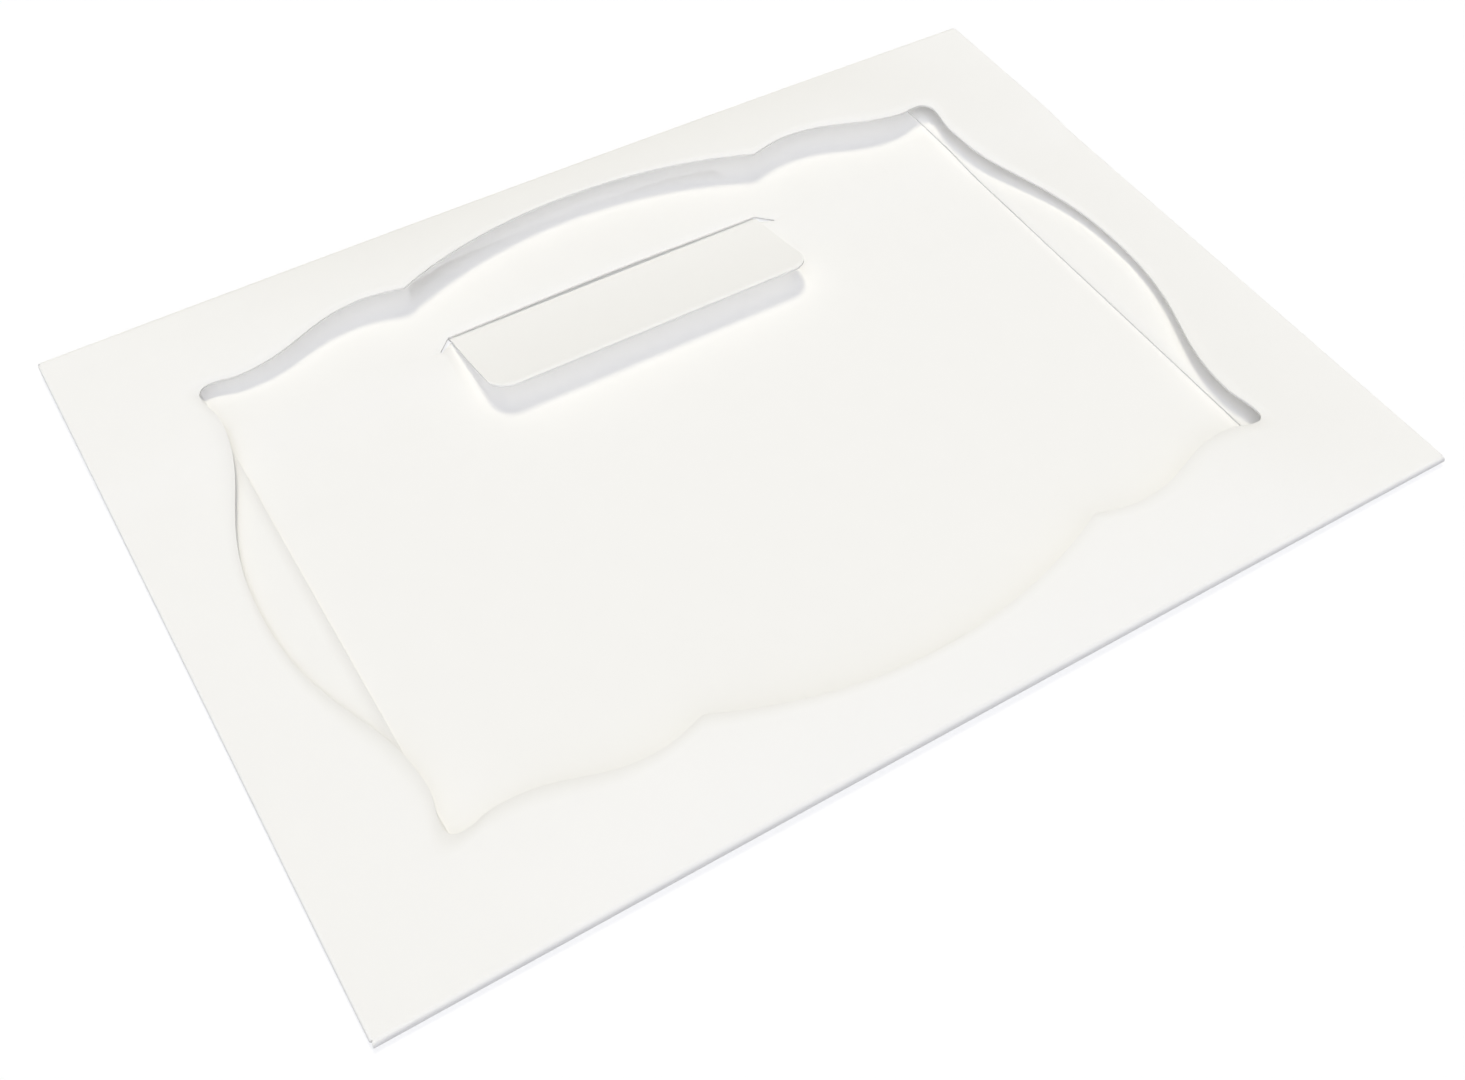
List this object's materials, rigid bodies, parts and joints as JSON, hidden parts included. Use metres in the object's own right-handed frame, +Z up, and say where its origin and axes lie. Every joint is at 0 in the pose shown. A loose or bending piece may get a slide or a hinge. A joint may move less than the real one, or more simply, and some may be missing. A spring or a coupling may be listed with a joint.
{
  "type": "photo folder",
  "caption": "Folded card photo folder with a scroll-edged window, side flaps, and a closing flap whose tongue tucks through a slit in the back panel.",
  "frame": {"origin": "middle of the folder's outline, on the surface that its back lies on", "axes": "+X along the long edges, +Y from the near long edge to the closing flap's fold, +Z up out of the front panel"},
  "size_m": [0.186, 0.133, 0.006],
  "materials": {
    "card": "matt uncoated, warm white"
  },
  "bodies": {
    "root": {"folded_card": "card"}
  },
  "joints": []
}
